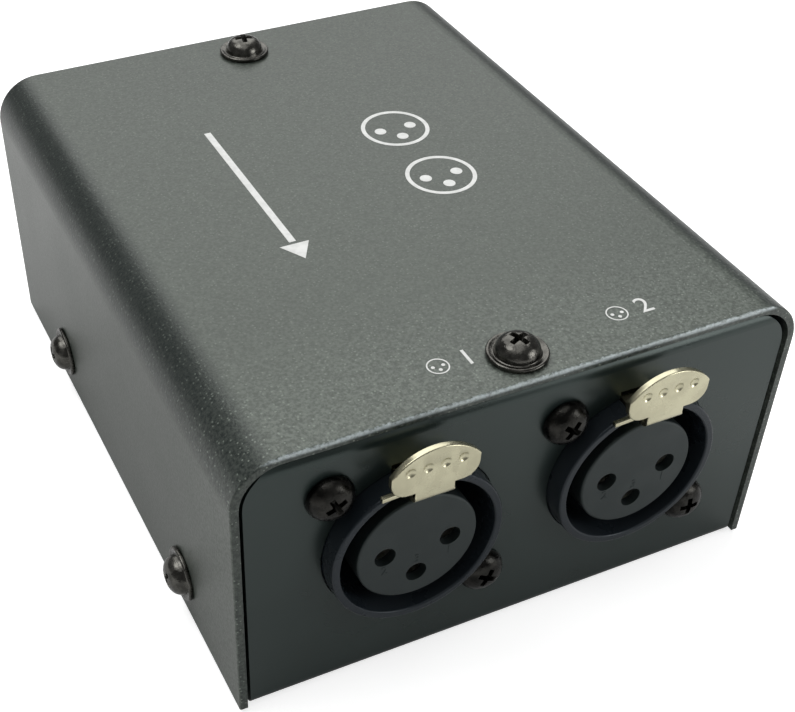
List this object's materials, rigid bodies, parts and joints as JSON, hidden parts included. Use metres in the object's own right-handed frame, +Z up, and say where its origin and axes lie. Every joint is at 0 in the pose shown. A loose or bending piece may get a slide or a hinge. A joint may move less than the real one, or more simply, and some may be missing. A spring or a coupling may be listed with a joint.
{
  "type": "usb dmx interface",
  "caption": "Sheet-metal box with latching round female sockets for lighting control on its front and a square USB inlet at its rear.",
  "frame": {"origin": "middle of the tray's underside, on the surface that the box stands on", "axes": "+X to the right seen from the front, +Y towards the rear panel with the USB inlet, +Z up"},
  "size_m": [0.0756, 0.0924, 0.0406],
  "materials": {
    "cover_paint": "fine textured paint",
    "panel_paint": "satin paint",
    "screw_black": "black zinc",
    "black_plastic": "satin moulded plastic",
    "insert_plastic": "matt moulded plastic",
    "latch_nickel": "nickel-plated",
    "contact_silver": "silver-plated",
    "steel": "bright",
    "board": "solder mask",
    "brass": "nickel-plated brass",
    "inlet_shell": "nickel-plated",
    "inlet_core": "matt moulded plastic",
    "inlet_gold": "gold-plated",
    "chip_black": "moulded resin with tinned leads",
    "crystal_can": "bright",
    "capacitor_sleeve": "shrunk sleeve",
    "resistor": "glazed",
    "lamp": "clear tinted resin"
  },
  "bodies": {
    "case": {"chassis": "panel_paint", "cover": "cover_paint", "top_screws": "screw_black", "side_screws": "screw_black", "xlr_1_housing": "black_plastic", "xlr_1_insert": "insert_plastic", "xlr_1_cap": "insert_plastic", "xlr_1_contacts": "contact_silver", "xlr_1_latch_pin": "steel", "xlr_1_latch_spring": "steel", "xlr_1_screws": "screw_black", "xlr_2_housing": "black_plastic", "xlr_2_insert": "insert_plastic", "xlr_2_cap": "insert_plastic", "xlr_2_contacts": "contact_silver", "xlr_2_latch_pin": "steel", "xlr_2_latch_spring": "steel", "xlr_2_screws": "screw_black", "circuit_board": "board", "standoffs": "brass", "board_screws": "steel", "usb_socket_shell": "inlet_shell", "usb_socket_insulator": "inlet_core", "usb_socket_contacts": "inlet_gold", "controller_chip": "chip_black", "driver_chips": "chip_black", "regulator": "chip_black", "crystal": "crystal_can", "capacitors": "capacitor_sleeve", "chip_resistors": "resistor", "status_led": "lamp"},
    "latch_1": {"xlr_1_latch": "latch_nickel"},
    "latch_2": {"xlr_2_latch": "latch_nickel"}
  },
  "joints": [
    {"name": "latch_1_press", "type": "hinge", "parent": "case", "child": "latch_1", "pos_m": [-0.0144, -0.04075, 0.0315], "axis": [1, 0, 0], "range_deg": [-15, 0], "stiffness_Nm_per_rad": 0.002, "springref_deg": 5.73, "deforming": ["xlr_1_latch_spring"]},
    {"name": "latch_2_press", "type": "hinge", "parent": "case", "child": "latch_2", "pos_m": [0.0144, -0.04075, 0.0315], "axis": [1, 0, 0], "range_deg": [-15, 0], "stiffness_Nm_per_rad": 0.002, "springref_deg": 5.73, "deforming": ["xlr_2_latch_spring"]}
  ]
}
